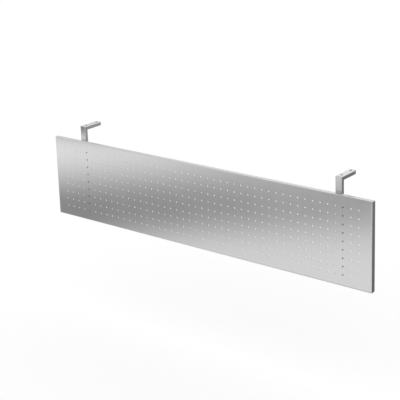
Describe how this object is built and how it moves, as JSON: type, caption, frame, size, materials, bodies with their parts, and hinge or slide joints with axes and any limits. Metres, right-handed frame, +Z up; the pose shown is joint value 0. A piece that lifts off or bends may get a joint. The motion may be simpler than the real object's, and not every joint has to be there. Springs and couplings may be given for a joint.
{
  "type": "desk modesty panel",
  "caption": "Perforated sheet-metal modesty panel that hangs under a desktop from L-shaped tube brackets and screens the sitter's legs.",
  "frame": {"origin": "on the top face of the left arm, midway between its two desk screw holes, where the arm bears on the underside of the desktop", "axes": "+X along the panel towards the right bracket, +Y from the panel's front face back towards the sitter, +Z up"},
  "size_m": [1.356, 0.101, 0.353],
  "materials": {
    "brushed_sheet": "satin",
    "bracket_tube": "satin",
    "cap_plastic": "fine grain"
  },
  "bodies": {
    "root": {"panel": "brushed_sheet", "left_upright": "bracket_tube", "right_upright": "bracket_tube", "left_arm": "bracket_tube", "right_arm": "bracket_tube", "left_arm_cap": "cap_plastic", "right_arm_cap": "cap_plastic", "left_foot_cap": "cap_plastic", "right_foot_cap": "cap_plastic"}
  },
  "joints": []
}
